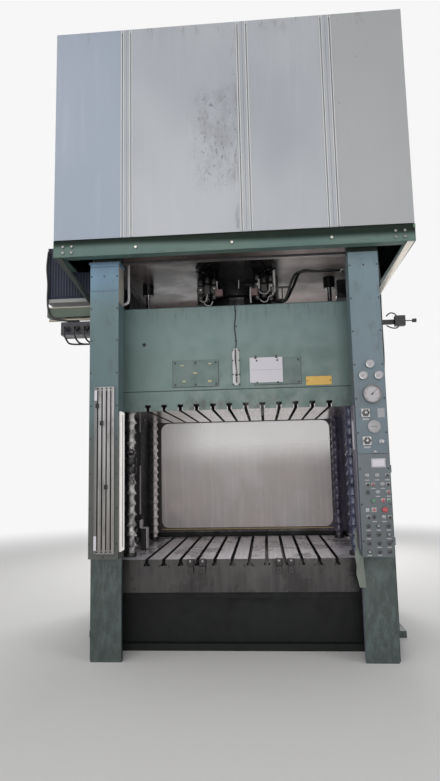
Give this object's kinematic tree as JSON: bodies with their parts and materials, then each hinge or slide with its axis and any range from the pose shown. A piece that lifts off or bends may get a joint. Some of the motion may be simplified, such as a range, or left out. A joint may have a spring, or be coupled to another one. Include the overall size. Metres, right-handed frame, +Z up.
{
  "type": "hydraulic press",
  "caption": "Four-sided hydraulic press with a T-slotted bolster and ram, bellows at the corners, a rear guard window, a control column and a clad machine room on a platform.",
  "frame": {"origin": "on the floor under the middle of the press, the bottom centre of its bounding box", "axes": "+X to the operator's right, -Y towards the operator, +Z up"},
  "size_m": [3.4, 2.7, 5.43],
  "materials": {
    "machine_green": "satin, scuffed",
    "dark_green": "satin, grimy",
    "ground_steel": "ground and oily",
    "bright_steel": "polished",
    "silver_paint": "satin, weathered",
    "black_paint": "satin",
    "aluminium": "extruded",
    "bellows_cloth": "glossy coated cloth",
    "grey_enamel": "satin",
    "dial_white": "satin",
    "clear_sheet": "scuffed clear sheet",
    "brown_paint": "matt",
    "navy_paint": "satin",
    "button_red": "gloss",
    "button_green": "gloss",
    "cable_black": "matt"
  },
  "bodies": {
    "frame": {"bed": "dark_green", "bellows_front_left": "bellows_cloth", "bellows_front_right": "bellows_cloth", "bellows_rear_left": "bellows_cloth", "bellows_rear_right": "bellows_cloth", "bolster": "ground_steel", "brace_left": "dark_green", "brace_right": "dark_green", "cladding_front_1": "silver_paint", "cladding_front_2": "silver_paint", "cladding_front_3": "silver_paint", "cladding_front_4": "silver_paint", "cladding_left": "silver_paint", "cladding_rear": "silver_paint", "cladding_right": "silver_paint", "cladding_roof": "silver_paint", "cover_left": "machine_green", "cover_right": "machine_green", "crown": "dark_green", "gauge": "dial_white", "gland_ring": "black_paint", "guard_frame": "brown_paint", "guard_window": "clear_sheet", "guide_rail_left": "bright_steel", "guide_rail_right": "bright_steel", "main_cylinder": "black_paint", "oil_tank": "grey_enamel", "platform": "machine_green", "prefill_valve": "grey_enamel", "pullback_cylinder_left": "black_paint", "pullback_cylinder_right": "black_paint", "pump_motor": "grey_enamel", "return_line": "cable_black", "sensor_arm": "black_paint", "sensor_head": "black_paint", "side_beam": "dark_green", "side_cabinet": "navy_paint", "side_valve_block": "grey_enamel", "trip_rail": "aluminium", "upright_left": "machine_green", "upright_right": "machine_green"},
    "ram": {"ram": "machine_green", "ram_platen": "machine_green", "piston": "bright_steel", "pullback_rod_left": "bright_steel", "pullback_rod_right": "bright_steel", "position_scale": "dial_white", "access_cover_left": "machine_green", "access_cover_right": "machine_green", "ram_cable": "cable_black"},
    "control_door": {"control_door": "machine_green"},
    "trip_dog_1": {"trip_dog_1": "black_paint"},
    "trip_dog_2": {"trip_dog_2": "black_paint"},
    "trip_dog_3": {"trip_dog_3": "black_paint"},
    "gauge_needle": {"gauge_needle": "black_paint"},
    "valve_knob_upper": {"valve_knob_upper": "black_paint"},
    "valve_knob_lower": {"valve_knob_lower": "black_paint"},
    "stop_button": {"stop_button": "button_red"},
    "start_button": {"start_button": "button_green"},
    "selector": {"selector": "black_paint"}
  },
  "joints": [
    {"name": "ram_slide", "type": "slide", "parent": "frame", "child": "ram", "axis": [0, 0, -1], "range_m": [0, 1], "deforming": ["bellows_front_left", "bellows_front_right", "bellows_rear_left", "bellows_rear_right"]},
    {"name": "door_hinge", "type": "hinge", "parent": "frame", "child": "control_door", "pos_m": [1.2283, -1.216, 1.25], "axis": [0, 0, 1], "range_deg": [0, 110]},
    {"name": "dog_1_slide", "type": "slide", "parent": "frame", "child": "trip_dog_1", "axis": [0, 0, 1], "range_m": [-1.15, 0.1]},
    {"name": "dog_2_slide", "type": "slide", "parent": "frame", "child": "trip_dog_2", "axis": [0, 0, 1], "range_m": [-1, 0.22]},
    {"name": "dog_3_slide", "type": "slide", "parent": "frame", "child": "trip_dog_3", "axis": [0, 0, 1], "range_m": [-0.48, 0.75]},
    {"name": "needle_turn", "type": "hinge", "parent": "frame", "child": "gauge_needle", "pos_m": [1.114, -1.2383, 2.135], "axis": [0, 1, 0], "range_deg": [-180, 90]},
    {"name": "knob_upper_turn", "type": "hinge", "parent": "frame", "child": "valve_knob_upper", "pos_m": [1.054, -1.2263, 1.982], "axis": [0, 1, 0], "range_deg": [-180, 180]},
    {"name": "knob_lower_turn", "type": "hinge", "parent": "frame", "child": "valve_knob_lower", "pos_m": [1.054, -1.2263, 1.757], "axis": [0, 1, 0], "range_deg": [-180, 180]},
    {"name": "stop_push", "type": "slide", "parent": "control_door", "child": "stop_button", "axis": [0, 1, 0], "range_m": [0, 0.006], "stiffness_N_per_m": 800},
    {"name": "start_push", "type": "slide", "parent": "control_door", "child": "start_button", "axis": [0, 1, 0], "range_m": [0, 0.006], "stiffness_N_per_m": 600},
    {"name": "selector_turn", "type": "hinge", "parent": "control_door", "child": "selector", "pos_m": [1.041, -1.2203, 1.349], "axis": [0, 1, 0], "range_deg": [-45, 45]}
  ]
}
